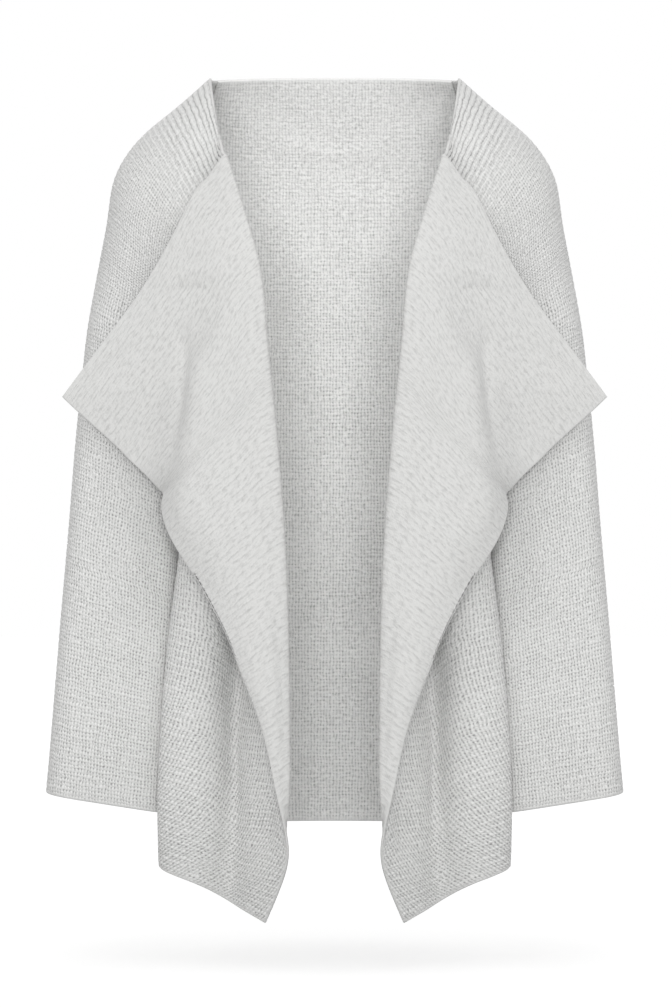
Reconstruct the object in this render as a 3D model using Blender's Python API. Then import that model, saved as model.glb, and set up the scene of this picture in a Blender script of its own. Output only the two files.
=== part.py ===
"""A long open-front knitted cardigan with raglan sleeves and wide fold-back waterfall lapels.

It holds the shape that it has when worn. Sizes are in millimetres in the tables and in metres in
the scene. The origin is between the shoulders, level with the top of the neck edge. Z is up and
the cardigan faces -Y. Tables describe the wearer's left side, and the right side is its mirror.
"""

import bpy
import numpy as np

MM = 0.001
CLOTH_THICK = 2.6          # the knit's thickness
SEAM_GAP = 0.3             # between two pieces that are sewn together
SEAM_REACH = 1.8           # how far a crease may stretch the wall, in wall thicknesses
LEANING = 12               # how often the wall's direction at a point is made more even
LEAN_STEP = 0.15           # and by how much
SAME_POINT = 0.01          # points this close are one point of a seam
SMALL_ANGLE = 0.01         # edges that differ less than this in direction move back as one
KNIT_COLOUR = (0.66, 0.66, 0.65)
KNIT_ROUGHNESS = 0.95

# Sections of the sleeve, from the neck edge down to the cuff. "out" is the distance from the
# middle of the body, "z" the height and "fwd" the distance forwards of the shoulders. The ridge
# is the outer side of the arm. Each section sweeps from there round the front and round the back
# of an oval by the stated angles: to the raglan seams at first, and from the underarm on right
# round to the seam under the arm.
SLEEVE_COLUMNS = ("ridge_out", "ridge_z", "ridge_fwd",
                  "front_out", "front_z", "front_deep", "front_sweep",
                  "back_out", "back_z", "back_deep", "back_sweep")
SLEEVE = {
    "neck edge":   (117.5, 2, -18, 107.8, -57, 82, 80, 112.5, 3, 54, 15),
    "trapezius":   (148, -26, -12, 111.5, -106, 87, 95, 121, -21, 65, 50),
    "shoulder":    (175, -48.5, -8, 117, -151, 91, 105, 129, -57, 80, 75),
    "deltoid":     (195, -71, -5, 122.5, -174, 88, 115, 133, -91, 88, 95),
    "upper cap":   (209, -100, -3, 127, -194, 86, 128, 136, -130, 88, 112),
    "lower cap":   (214, -135, -2, 131, -218, 84, 145, 138, -170, 86, 130),
    "armpit top":  (219.7, -166, -2, 134, -234, 80, 162, 139, -212, 80, 155),
    "underarm":    (222.7, -184, -2, 138, -247, 75, 180, 138, -247, 72, 180),
    "biceps":      (230.7, -228, 0, 152, -270, 72, 180, 152, -270, 69, 180),
    "above elbow": (236.7, -268, 2, 153, -316, 70, 180, 153, -316, 67, 180),
    "elbow":       (244.5, -342, 6, 151, -388, 68, 180, 151, -388, 64, 180),
    "forearm":     (250.4, -420, 10, 150, -461, 67, 180, 150, -461, 61, 180),
    "lower arm":   (258.2, -513, 13, 149, -548, 66, 180, 149, -548, 58, 180),
    "wrist":       (266.8, -620, 14, 149, -644, 65, 180, 149, -644, 56, 180),
    "cuff":        (271.3, -673, 14, 149, -692, 64, 180, 149, -692, 55, 180),
}
SLEEVE_SQUARE = 0.86       # under 1 flattens the front and back of the arm a little

# Sections of a front, from its top at the neck down to the hem. The cloth runs from the seam
# round the side to the roll, where it turns back on itself and becomes the lapel, out to the
# lapel's edge. "tuck" holds the cloth behind the arm close to the body, "belly" is how far the
# lapel bulges at a quarter, a half and three quarters of its width, "turn" is the radius of the
# roll, and "folded" falls to 0 where the front hangs open below the lapel.
FRONT_COLUMNS = ("tuck", "side_out", "side_fwd", "crest_out", "crest_fwd", "dip_out", "dip_fwd",
                 "roll_out", "roll_z", "roll_fwd", "edge_out", "edge_z", "edge_fwd",
                 "belly_1", "belly_2", "belly_3", "turn", "folded")
FRONT = (
    # tuck, side out and fwd, crest out and fwd, dip out and fwd, roll out, z and fwd, edge out, z
    # and fwd, three bellies, turn, folded
    (0.0, 107, 66.5, 106, 70, 105, 74, 101.8, -78.5, 84, 252.6, -303.7, 84, 8, 7, 4, 3, 1),
    (0.0, 108.5, 81.5, 103, 88, 97, 94.5, 88.2, -119, 103, 232, -323, 86, 7, 6, 3, 5, 1),
    (0.0, 111.5, 89, 101.5, 98, 88.5, 108.5, 73.8, -167, 120, 203, -349, 88, 8, 9, 5, 5, 1),
    (0.0, 109, 91, 97, 102, 84, 113, 68.4, -190, 127, 191, -361, 89, 11, 14, 9, 6, 1),
    (0.0, 111, 86, 95, 104, 81, 117, 65.4, -213, 132, 180, -371, 90, 12, 18, 13, 6, 1),
    (0.0, 114, 76, 95, 101, 78.5, 120, 62.9, -244, 137, 169, -381.5, 92, 14, 23, 17, 7, 1),
    (0.0, 117, 64, 96, 98, 77.5, 121, 60.5, -269, 140, 160.5, -390, 93, 16, 27, 24, 7, 1),
    (0.1, 120, 52, 97, 94, 77.5, 121, 58.5, -288, 142, 156.8, -395.4, 96, 17, 30, 31, 7, 1),
    (0.2, 123, 55, 99, 94, 78.5, 121, 56.3, -308, 144, 157.8, -410, 118, 14, 25, 24, 7, 1),
    (0.4, 129, 66, 105, 97, 80.5, 119, 52.1, -354, 148, 147, -438.3, 138, 11, 18, 16, 7, 1),
    (0.6, 134, 80, 111, 101, 82, 116, 48.4, -399, 151, 128.7, -466.5, 147, 9, 15, 13, 7, 1),
    (0.8, 140, 89, 118, 107, 84.5, 111, 45.5, -444.5, 153, 111, -497, 153, 8, 13, 10, 7, 1),
    (0.9, 146, 94, 124, 109, 87.5, 106, 43.6, -490, 155, 95.5, -528.5, 158, 7, 9, 7, 7, 1),
    (1.0, 151, 98, 129, 112, 90.5, 101, 42.4, -535, 156, 82, -563.5, 160, 5, 6, 5, 6, 1),
    (1.0, 155, 101, 133, 114, 93, 97, 41.8, -580.6, 157, 68.5, -598.5, 161, 3, 4, 3, 5, 1),
    (1.0, 158, 103, 137, 115, 95, 95, 41.6, -626, 157, 58.5, -637.5, 161, 1, 1, 1, 4, 1),
    (1.0, 160, 104, 140, 116, 97, 94, 42, -668, 155, 50.5, -677, 160, 0, 0, 0, 3, 1),
    (1.0, 161, 104, 142, 116, 98, 94, 48, -710, 147, 42.5, -716, 156, 0, 0, 0, 3, 0),
    (1.0, 161, 104, 142, 116, 99, 94, 63, -746, 135, 48.6, -749, 147, 0, 0, 0, 3, 0),
    (1.0, 160, 102, 142, 115, 101, 94, 83, -776, 119, 63.4, -785, 138, 0, 0, 0, 3, 0),
)
NECK_FALL = (0.10, 0.24, 0.42, 0.72)  # how rows slant down from the seam to the roll at the neck
HEM_FALL = (0.16, 0.39, 0.52, 0.86)   # and at the hem: at the flank, side, crest and dip
FLANK = (0.5, 0.55)        # how far out and forwards the flank lies from the seam to the side
TURN_RISE = 0.3            # how far above the roll the cloth starts to turn, in radii
TOP_DIP = (2, 12, 6.5)     # how far the lapel's top edge dips at each quarter of its width
TOP_DIP_ROWS = 7           # and over how many rows that fades

# The side seams, from the underarm to the hem, and the middle of the back. "start" is the angle
# round the back's own oval at which its seam lies, so that it leaves a sleeve smoothly.
SIDE_SEAM = {"z": (-247, -270, -320, -400, -550, -715),
             "out": (138, 134.5, 134, 136, 139, 141),
             "fwd": (-2, -3, -5, -7, -9, -10)}
BACK_MIDDLE = {"row": (0, 1, 2, 3, 4, 5, 6, 7, 8, 19),
               "z": (10, -22, -58, -92, -130, -170, -210, -247, -286, -715),
               "fwd": (-70, -87, -102, -110, -114, -116, -118, -119, -120, -124),
               "start": (62, 62, 60, 54, 46, 34, 18, 3, 0, 0)}
BACK_SQUARE = 0.80         # under 1 flattens the back and rounds its sides

CAP_ROWS = 11              # rows of points from the neck edge to the underarm
BODY_ROWS = 19             # from the underarm to the hem
ARM_ROWS = 13              # from the underarm to the cuff
SLEEVE_POINTS = 11         # from the ridge of the arm to a seam, at the front and at the back
BACK_POINTS = 9            # from a side seam to the middle of the back
FRONT_STEPS = (3, 3, 3, 3, 4, 2, 2, 2, 3, 3, 3)  # points between a front section's named places
PANEL_PLACES = 5           # how many of those steps come before the roll
EVENING = 4                # how often the spaces between points are made more even

UNDERARM_ROW = 7
CUFF_ROW = len(SLEEVE) - 1
HEM_ROW = len(FRONT) - 1


def spline(knots, values, at):
    """The smooth curve (a natural cubic spline) that takes these values at the knots, read at `at`."""
    knots = np.asarray(knots, float)
    values = np.asarray(values, float)
    at = np.asarray(at, float)
    gaps = np.diff(knots)
    count = len(knots)
    system = np.eye(count)
    right = np.zeros(values.shape)
    slopes = np.diff(values, axis=0) / gaps.reshape(-1, *[1] * (values.ndim - 1))
    for i in range(1, count - 1):
        system[i, i - 1:i + 2] = gaps[i - 1], 2 * (gaps[i - 1] + gaps[i]), gaps[i]
        right[i] = 6 * (slopes[i] - slopes[i - 1])
    bend = np.linalg.solve(system, right)
    i = np.clip(np.searchsorted(knots, at) - 1, 0, count - 2)
    shape = at.shape + (1,) * (values.ndim - 1)
    gap = gaps[i].reshape(shape)
    right_share = ((at - knots[i]).reshape(shape)) / gap
    left_share = 1 - right_share
    straight = left_share * values[i] + right_share * values[i + 1]
    return straight + gap ** 2 / 6 * ((left_share ** 3 - left_share) * bend[i]
                                      + (right_share ** 3 - right_share) * bend[i + 1])


def row_of(table, columns, row, first=0):
    """One row of a table, read between its rows where need be, as a dictionary."""
    rows = np.array(list(table.values()) if isinstance(table, dict) else table, float)[first:]
    values = spline(np.arange(first, first + len(rows)), rows, np.array([float(row)]))[0]
    return dict(zip(columns, values))


def unit(vectors):
    return vectors / np.maximum(np.linalg.norm(vectors, axis=-1, keepdims=True), 1e-12)


def squared(wave, power):
    return np.sign(wave) * np.abs(wave) ** power


def sleeve_arc(part, side, count):
    """Points (out, fwd, z) from the ridge of the arm to the front or back seam."""
    sweep = np.radians(min(part[side + "_sweep"], 180.0))
    turn = np.linspace(0, sweep, count)
    ridge = np.array([part["ridge_out"], part["ridge_z"]])
    seam = np.array([part[side + "_out"], part[side + "_z"]])
    across = (ridge - seam) / (1 - squared(np.cos(sweep), SLEEVE_SQUARE))
    flat = ridge - across + squared(np.cos(turn), SLEEVE_SQUARE)[:, None] * across
    sign = 1 if side == "front" else -1
    fwd = part["ridge_fwd"] + sign * part[side + "_deep"] * squared(np.sin(turn), SLEEVE_SQUARE)
    return np.column_stack([flat[:, 0], fwd, flat[:, 1]])


def sleeve_section(row):
    """A section from the front seam over the ridge to the back seam, a full ring on the arm."""
    part = row_of(SLEEVE, SLEEVE_COLUMNS, row)
    if row >= UNDERARM_ROW:
        under = row_of(SLEEVE, SLEEVE_COLUMNS, row, UNDERARM_ROW)
        for side in ("front", "back"):
            part[side + "_out"] = under["front_out"]
            part[side + "_z"] = under["front_z"]
            part[side + "_sweep"] = 180.0
    front = sleeve_arc(part, "front", SLEEVE_POINTS)
    back = sleeve_arc(part, "back", SLEEVE_POINTS)
    return np.concatenate([front[::-1], back[1:]])


def side_seam(row):
    """The side seam's point (out, fwd, z) in a row below the underarm."""
    share = (row - UNDERARM_ROW) / (HEM_ROW - UNDERARM_ROW)
    z = SIDE_SEAM["z"][0] + share * (SIDE_SEAM["z"][-1] - SIDE_SEAM["z"][0])
    down = -np.array(SIDE_SEAM["z"], float)
    out = spline(down, SIDE_SEAM["out"], np.array([-z]))[0]
    fwd = spline(down, SIDE_SEAM["fwd"], np.array([-z]))[0]
    return np.array([out, fwd, z])


def seam_point(row, side):
    """Where a front or the back begins in this row: on the raglan seam, then on the side seam."""
    if row <= UNDERARM_ROW:
        return sleeve_section(row)[0 if side == "front" else -1]
    return side_seam(row)


def front_section(row):
    """A section of the left front, from its seam round the roll to the lapel's edge."""
    part = row_of(FRONT, FRONT_COLUMNS, row)
    seam = seam_point(row, "front")
    roll = np.array([part["roll_out"], part["roll_fwd"], part["roll_z"]])
    edge = np.array([part["edge_out"], part["edge_fwd"], part["edge_z"]])
    side = np.array([part["side_out"], part["side_fwd"], 0])
    flank = seam + (side - seam) * (FLANK[0] * (1 - part["tuck"]), FLANK[1], 0)
    crest = np.array([part["crest_out"], part["crest_fwd"], 0])
    dip = np.array([part["dip_out"], part["dip_fwd"], 0])
    panel = [seam, flank, side, crest, dip]
    falls = np.array(NECK_FALL) + row / HEM_ROW * np.subtract(HEM_FALL, NECK_FALL)
    for place, fall in zip(panel[1:], falls):
        place[2] = seam[2] + fall * (roll[2] - seam[2])
    top = max(1 - row / TOP_DIP_ROWS, 0)
    lapel = lapel_places(part, dip, roll, edge, top)
    fold = np.clip(part["folded"], 0, 1)
    plain = [roll + (edge - roll) * i / (len(lapel) - 1) for i in range(len(lapel))]
    lapel = [fold * a + (1 - fold) * b for a, b in zip(lapel, plain)]
    places = np.array(panel + lapel)
    lengths = np.linalg.norm(np.diff(places, axis=0), axis=1)
    spaces = np.repeat(lengths / FRONT_STEPS, FRONT_STEPS)
    at = np.concatenate([[0], np.cumsum(evened(spaces))])
    return spline(np.concatenate([[0], np.cumsum(lengths)]), places, at)


def evened(spaces):
    """The same spaces with their changes made gradual, on the panel and on the lapel by itself."""
    panel = sum(FRONT_STEPS[:PANEL_PLACES])
    lapel = panel + sum(FRONT_STEPS[PANEL_PLACES:PANEL_PLACES + 2])
    parts = []
    for part in (spaces[:panel], spaces[panel:lapel], spaces[lapel:]):
        even = part
        for turn in range(EVENING):
            wide = np.concatenate([even[:1], even, even[-1:]])
            even = (wide[:-2] + 2 * wide[1:-1] + wide[2:]) / 4
        parts.append(even * part.sum() / even.sum())
    return np.concatenate(parts)


def lapel_places(part, dip, roll, edge, top):
    """The places on the lapel: round the roll, over its belly and at its edge. "top" is how much
    of the top edge's dip this section has."""
    level = np.array([1, 1, 0])
    arrive = unit((roll - dip) * level)
    belly = roll + (edge - roll) / 4 + (0, part["belly_1"], 0)
    leave = unit((belly - roll) * level)
    tip = unit(arrive - leave)
    over = unit(leave + arrive)
    turn_in = roll - (tip + over) * part["turn"]
    turn_out = roll - (tip - over) * part["turn"]
    turn_in[2] += part["turn"] * TURN_RISE
    fall = (edge[2] - roll[2]) / np.linalg.norm((edge - roll) * level)
    turn_out[2] += fall * part["turn"]
    places = [turn_in, roll, turn_out]
    for quarter, down in enumerate(TOP_DIP, start=1):
        point = turn_out + quarter / 4 * (edge - turn_out)
        places.append(point + (0, part["belly_" + str(quarter)], -top * down))
    return places + [edge]


def back_section(row):
    """A section of the back, from the left seam to the right seam."""
    seam = seam_point(row, "back")
    z, fwd, start = (spline(BACK_MIDDLE["row"], BACK_MIDDLE[name], np.array([float(row)]))[0]
                     for name in ("z", "fwd", "start"))
    start = np.radians(max(start, 0))
    turn = np.linspace(start, np.pi / 2, BACK_POINTS)
    out = seam[0] * squared(np.cos(turn) / np.cos(start), BACK_SQUARE)
    share = squared(np.sin(turn), BACK_SQUARE)
    share = (share - share[0]) / (1 - share[0])
    deep = seam[1] + (fwd - seam[1]) * share
    height = seam[2] + (z - seam[2]) * share
    half = np.column_stack([out, deep, height])
    mirrored_half = half[-2::-1] * (-1, 1, 1)
    return np.concatenate([half, mirrored_half])


def grid_faces(rows, columns):
    """The faces of a grid of points, each a list of four point numbers."""
    first = np.arange(rows * columns).reshape(rows, columns)
    return np.stack([first[:-1, :-1], first[1:, :-1], first[1:, 1:], first[:-1, 1:]], -1).reshape(-1, 4)


def sheet_of(sections):
    """A sheet through sections of (out, fwd, z) points, in the frame that has the front at -Y."""
    return sections.reshape(-1, 3) * (1, -1, 1), grid_faces(*sections.shape[:2])


def flipped(sheet):
    """The same sheet with its faces pointing the other way."""
    points, faces = sheet
    return points, faces[:, ::-1]


def mirrored(sheet):
    """The same sheet on the wearer's other side, with its faces still pointing outwards."""
    points, faces = flipped(sheet)
    return points * (-1, 1, 1), faces


def make_sheets():
    """The middle surface of each piece: {name: (points, faces)}."""
    cap = np.linspace(0, UNDERARM_ROW, CAP_ROWS)
    body = np.concatenate([cap, np.linspace(UNDERARM_ROW, HEM_ROW, BODY_ROWS)[1:]])
    arm = np.concatenate([cap, np.linspace(UNDERARM_ROW, CUFF_ROW, ARM_ROWS)[1:]])
    front = np.array([front_section(row) for row in body])
    back = np.array([back_section(row) for row in body])
    sleeve = np.array([sleeve_section(row) for row in arm])
    front_left = flipped(sheet_of(front))
    sleeve_left = sheet_of(sleeve)
    return {"back": sheet_of(back),
            "front_left": front_left, "front_right": mirrored(front_left),
            "sleeve_left": sleeve_left, "sleeve_right": mirrored(sleeve_left)}


def weld(sheets):
    """One mesh of all the sheets: points that sheets share at a seam become one point."""
    numbers = {}
    points = []
    faces = {}
    for name, (own, own_faces) in sheets.items():
        own_numbers = []
        for point in own:
            place = tuple(np.round(point / SAME_POINT).astype(int).tolist())
            if place not in numbers:
                numbers[place] = len(points)
                points.append(point)
            own_numbers.append(numbers[place])
        faces[name] = np.array(own_numbers)[own_faces]
    return np.array(points), faces


def face_normals(points, faces):
    a, b, c, d = (points[faces[:, i]] for i in range(4))
    return np.cross(c - a, d - b)


def wall_steps(points, faces):
    """The step from each point of the cloth's middle to its outer face. It leans evenly towards
    all the faces round the point, and is longer at a crease, so that the wall keeps its thickness."""
    normals = np.repeat(unit(face_normals(points, faces)), 4, axis=0)
    corners = faces.reshape(-1)
    direction = np.zeros(points.shape)
    np.add.at(direction, corners, normals)
    direction = unit(direction)
    for turn in range(LEANING):
        lean = np.sum(normals * direction[corners], axis=1)
        order = np.lexsort((lean, corners))
        point, first = np.unique(corners[order], return_index=True)
        direction[point] = unit(direction[point] + LEAN_STEP * normals[order[first]])
    direction = blended(points, faces, direction)
    lean = np.ones(len(points))
    np.minimum.at(lean, corners, np.sum(normals * direction[corners], axis=1))
    reach = np.clip(1 / np.maximum(lean, 1e-6), 1, SEAM_REACH)
    return direction * (CLOTH_THICK / 2 * reach)[:, None]


def blended(points, faces, direction):
    """Directions that share in those of neighbours closer than the cloth is thick."""
    a = faces.reshape(-1)
    b = np.roll(faces, -1, axis=1).reshape(-1)
    share = np.exp(-np.sum((points[a] - points[b]) ** 2, axis=1) / CLOTH_THICK ** 2)[:, None]
    total = direction.copy()
    np.add.at(total, a, share * direction[b])
    np.add.at(total, b, share * direction[a])
    return unit(total)


def open_edges(faces):
    """The open edges of some faces: each edge's two points, in its face's order, and its face."""
    found = {}
    for number, face in enumerate(faces.tolist()):
        for a, b in zip(face, face[1:] + face[:1]):
            if (b, a) in found:
                del found[(b, a)]
            else:
                found[(a, b)] = number
    return [(a, b, number) for (a, b), number in found.items()]


def seam_shifts(points, steps, faces, edge_of_garment):
    """How far each point of a piece moves back from the seams, square to the mitre there."""
    squares = {}
    for a, b, number in open_edges(faces):
        if (a, b) in edge_of_garment:
            continue
        middle = points[faces[number]].mean(axis=0)
        across = np.cross(points[b] - points[a], steps[a] + steps[b])
        across = unit(across) * np.sign(np.dot(across, middle - (points[a] + points[b]) / 2))
        squares.setdefault(a, []).append(across)
        squares.setdefault(b, []).append(across)
    shifts = np.zeros(points.shape)
    for point, rows in squares.items():
        shifts[point] = np.linalg.lstsq(np.array(rows), np.full(len(rows), SEAM_GAP / 2), rcond=SMALL_ANGLE)[0]
    return shifts


def split_faces(points, faces):
    """Each four-sided face as two triangles, split along its shorter diagonal."""
    a, b, c, d = faces.T
    first = np.linalg.norm(points[c] - points[a], axis=1) <= np.linalg.norm(points[d] - points[b], axis=1)
    one = np.where(first, (a, b, c), (a, b, d))
    two = np.where(first, (a, c, d), (b, c, d))
    return np.concatenate([one.T, two.T])


def make_wall(points, steps, faces, shifts):
    """The closed wall of a piece: its outer and inner faces and the strips along its edges."""
    used, packed = np.unique(faces, return_inverse=True)
    packed = packed.reshape(-1, 4)
    count = len(used)
    middle = points[used] + shifts[used]
    shell = np.concatenate([middle + steps[used], middle - steps[used]])
    outer = split_faces(middle, packed)
    inner = outer[:, ::-1] + count
    edges = np.array([(b, a, a + count, b + count) for a, b, number in open_edges(packed)])
    return shell, np.concatenate([outer, inner, split_faces(shell, edges)])


def make_material(name, colour, roughness):
    material = bpy.data.materials.new(name)
    material.use_nodes = True
    shader = material.node_tree.nodes["Principled BSDF"]
    shader.inputs["Base Color"].default_value = (*colour, 1.0)
    shader.inputs["Roughness"].default_value = roughness
    shader.inputs["Metallic"].default_value = 0.0
    material.diffuse_color = (*colour, 1.0)
    return material


def make_object(name, shell, faces, collection):
    """A piece of the garment, in metres."""
    mesh = bpy.data.meshes.new(name)
    mesh.from_pydata((shell * MM).tolist(), [], faces.tolist())
    mesh.materials.append(make_material(name + "_knit", KNIT_COLOUR, KNIT_ROUGHNESS))
    mesh.validate()
    mesh.shade_smooth()
    piece = bpy.data.objects.new(name, mesh)
    collection.objects.link(piece)
    return piece


def make_cardigan():
    for old in list(bpy.data.objects):
        bpy.data.objects.remove(old, do_unlink=True)
    collection = bpy.data.collections.new("cardigan")
    bpy.context.scene.collection.children.link(collection)
    sheets = make_sheets()
    points, faces = weld(sheets)
    everything = np.concatenate(list(faces.values()))
    steps = wall_steps(points, everything)
    outline = {(a, b) for a, b, number in open_edges(everything)}
    for name, piece_faces in faces.items():
        shifts = seam_shifts(points, steps, piece_faces, outline)
        shell, wall = make_wall(points, steps, piece_faces, shifts)
        make_object(name, shell, wall, collection)


make_cardigan()
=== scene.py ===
# A long open-front cardigan in pale grey knit, hollow and in the shape that it has when worn.
# Places are in millimetres until a mesh is made: "out" from the middle of the body, "fwd"
# forwards and "z" up. Tables describe the wearer's left side, and the right side is its mirror.
import math
import bpy
import numpy as np
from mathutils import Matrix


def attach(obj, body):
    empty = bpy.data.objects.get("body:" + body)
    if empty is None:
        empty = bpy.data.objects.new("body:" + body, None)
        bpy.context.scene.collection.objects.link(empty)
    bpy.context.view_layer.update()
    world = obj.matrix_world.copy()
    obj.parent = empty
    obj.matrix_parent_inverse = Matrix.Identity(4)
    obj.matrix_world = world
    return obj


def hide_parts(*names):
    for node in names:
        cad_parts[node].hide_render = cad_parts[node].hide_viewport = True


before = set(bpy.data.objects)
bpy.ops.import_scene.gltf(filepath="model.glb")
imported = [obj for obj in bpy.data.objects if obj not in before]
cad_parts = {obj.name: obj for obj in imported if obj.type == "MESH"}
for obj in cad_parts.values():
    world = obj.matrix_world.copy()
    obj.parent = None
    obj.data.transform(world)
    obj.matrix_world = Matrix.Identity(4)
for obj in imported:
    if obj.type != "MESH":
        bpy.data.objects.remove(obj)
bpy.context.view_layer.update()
mm = 0.001

cloth = {"thick": 2.6,          # the wall of the knit
         "seamGap": 0.3,        # between two pieces that are sewn together
         "edgeRound": 1.3,      # radius of the cloth's edges
         "plainEdge": 4.5,      # from an edge of the garment to where the knit shows in full
         "edgeSteps": (0, 0.35, 1.0, 2.2),   # rows of points this far from an edge
         "ribPitch": 6.9,       # from one raised course to the next
         "ribPoints": 4}        # rows of points to each of them


# Curves and tables.

def smoothCurve(knots, values, at):
    # Natural cubic splines, many at once. knots (curves, n), values (curves, n, k) and
    # at (curves, m) give points (curves, m, k): straight steps plus cubic bends that agree
    # in slope and curvature at each knot.
    gaps = np.diff(knots, axis=1)
    count = knots.shape[1]
    system = np.zeros((len(knots), count, count))
    system[:, 0, 0] = system[:, -1, -1] = 1
    inner = np.arange(1, count - 1)
    system[:, inner, inner - 1] = gaps[:, :-1]
    system[:, inner, inner] = 2 * (gaps[:, :-1] + gaps[:, 1:])
    system[:, inner, inner + 1] = gaps[:, 1:]
    right = np.zeros(values.shape)
    right[:, 1:-1] = 6 * np.diff(np.diff(values, axis=1) / gaps[:, :, None], axis=1)
    bend = np.linalg.solve(system, right)
    piece = (at[:, :, None] >= knots[:, None, 1:-1]).sum(-1)
    curve = np.arange(len(knots))[:, None]
    gap = gaps[curve, piece][:, :, None]
    b = (at - knots[curve, piece])[:, :, None] / gap
    a = 1 - b
    return (a * values[curve, piece] + b * values[curve, piece + 1]
            + gap ** 2 / 6 * ((a ** 3 - a) * bend[curve, piece]
                              + (b ** 3 - b) * bend[curve, piece + 1]))


def readTable(names, table, rows, first=0):
    # Every column of a table, read smoothly between its rows: {name: values}.
    values = np.array(table, float)[first:]
    knots = np.arange(first, first + len(values), dtype=float)
    read = smoothCurve(knots[None], values[None], np.maximum(rows, first)[None])[0]
    return dict(zip(names.split(), read.T))


def readLine(knots, values, at):
    # One smooth line through a few values.
    return smoothCurve(np.array([knots], float), np.array(values, float)[None, :, None],
                       np.asarray(at, float)[None])[0, :, 0]


def smoothStep(share):
    # From 0 to 1 with no slope at either end.
    share = np.clip(share, 0, 1)
    return share ** 2 * (3 - 2 * share)


def squared(wave, power):
    # A wave raised to a power, with its sign kept.
    return np.sign(wave) * np.abs(wave) ** power


def unit(vectors):
    return vectors / np.maximum(np.linalg.norm(vectors, axis=-1, keepdims=True), 1e-9)


def arcAlong(points, axis):
    # Distance travelled along one axis of a grid of points.
    steps = np.linalg.norm(np.diff(points, axis=axis), axis=-1)
    start = np.zeros_like(np.take(steps, [0], axis=axis))
    return np.concatenate([start, np.cumsum(steps, axis=axis)], axis=axis)


# The sleeve.

underarm = 7          # the row in which both raglan seams meet
cuffRow = 14
hemRow = 19
sleeve = {
    "names": "ridgeOut ridgeZ ridgeFwd frontOut frontZ frontDeep frontSweep backOut backZ backDeep backSweep",
    "rows": (
        (117.5, 2, -18, 107.8, -57, 82, 80, 112.5, 3, 54, 15),       # neck edge
        (148, -26, -12, 111.5, -106, 87, 95, 121, -21, 65, 50),      # trapezius
        (175, -48.5, -8, 117, -151, 91, 105, 129, -57, 80, 75),      # shoulder
        (195, -71, -5, 122.5, -174, 88, 115, 133, -91, 88, 95),      # deltoid
        (209, -100, -3, 127, -194, 85, 128, 136, -130, 88, 112),    # upper cap
        (214, -135, -2, 131, -218, 82, 145, 138, -170, 86, 130),    # lower cap
        (219.7, -166, -2, 134, -234, 79.5, 162, 139, -212, 80, 155),    # armpit top
        (222.7, -184, -2, 138, -247, 77.5, 180, 138, -247, 72, 180),    # underarm
        (230.7, -228, 0, 150, -270, 74.5, 180, 152, -270, 69, 180),     # biceps
        (235.4, -268, 2, 150, -316, 71.5, 180, 152, -316, 67, 180),     # above elbow
        (242.6, -342, 6, 145, -388, 68, 180, 149, -388, 64, 180),     # elbow
        (248.4, -420, 10, 143.5, -461, 67, 180, 148, -461, 61, 180),    # forearm
        (256.2, -513, 13, 145, -548, 66, 180, 147, -548, 58, 180),    # lower arm
        (265, -620, 14, 149, -644, 65, 180, 149, -644, 56, 180),    # wrist
        (269.8, -673, 14, 149, -692, 64, 180, 149, -692, 55, 180)),   # cuff
    "square": (0.86, 0.42),    # at the shoulder and on the arm: under 1 flattens the oval
    "squareRows": (-5, 6),     # from so many rows above the underarm to so many below it
    "columns": 104,
    "foldFade": 8,             # how sharply the folds fade towards the ridge of the arm
    "easeRows": 1.6,           # how far from the underarm's row the cloth is smoothed
    "easeFrom": (6, 36),       # and from how near to a seam on
    "easeTurns": 120,
    "easeStep": 0.9,
}


def sleeveSurface(rows, across):
    # Sections of the arm. across runs from -1 at the front seam, over 0 at the ridge of the
    # arm, to 1 at the back seam, round an oval whose waves are raised to a power under 1.
    part = readTable(sleeve["names"], sleeve["rows"], rows)
    first, last = sleeve["squareRows"]
    share = smoothStep((rows - underarm - first) / (last - first))[:, None]
    square = sleeve["square"][0] + (sleeve["square"][1] - sleeve["square"][0]) * share
    under = readTable(sleeve["names"], sleeve["rows"], rows, underarm)
    onArm = rows >= underarm
    halves = []
    for side, sign in (("front", 1), ("back", -1)):
        sweep = np.radians(np.where(onArm, 180, np.minimum(part[side + "Sweep"], 180)))[:, None]
        turn = sweep * np.abs(across)
        round_ = 1 - squared(np.cos(sweep), square)
        places = []
        for axis in ("Out", "Z"):
            ridge = part["ridge" + axis][:, None]
            seam = np.where(onArm, under["front" + axis], part[side + axis])[:, None]
            reach = (ridge - seam) / round_
            places.append(ridge - reach + squared(np.cos(turn), square) * reach)
        deep = part[side + "Deep"][:, None] * squared(np.sin(turn), square)
        fwd = part["ridgeFwd"][:, None] + sign * deep
        halves.append(np.stack([places[0], fwd, places[1]], -1))
    return np.where((across < 0)[:, :, None], *halves)


# The back and the side seams.

back = {
    "seamZ": (-247, -270, -320, -400, -550, -715),
    "seamOut": (138, 134.5, 134, 136, 139, 141),
    "seamFwd": (-2, -3, -5, -7, -9, -10),
    "row": (0, 1, 2, 3, 4, 5, 6, 7, 8, 19),
    "z": (10, -22, -58, -92, -130, -170, -210, -247, -286, -715),
    "fwd": (-70, -87, -102, -110, -114, -116, -118, -119, -120, -124),
    "start": (62, 62, 60, 54, 46, 34, 18, 3, 0, 0),
    "square": 0.80,
    "columns": 104,
}


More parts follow.
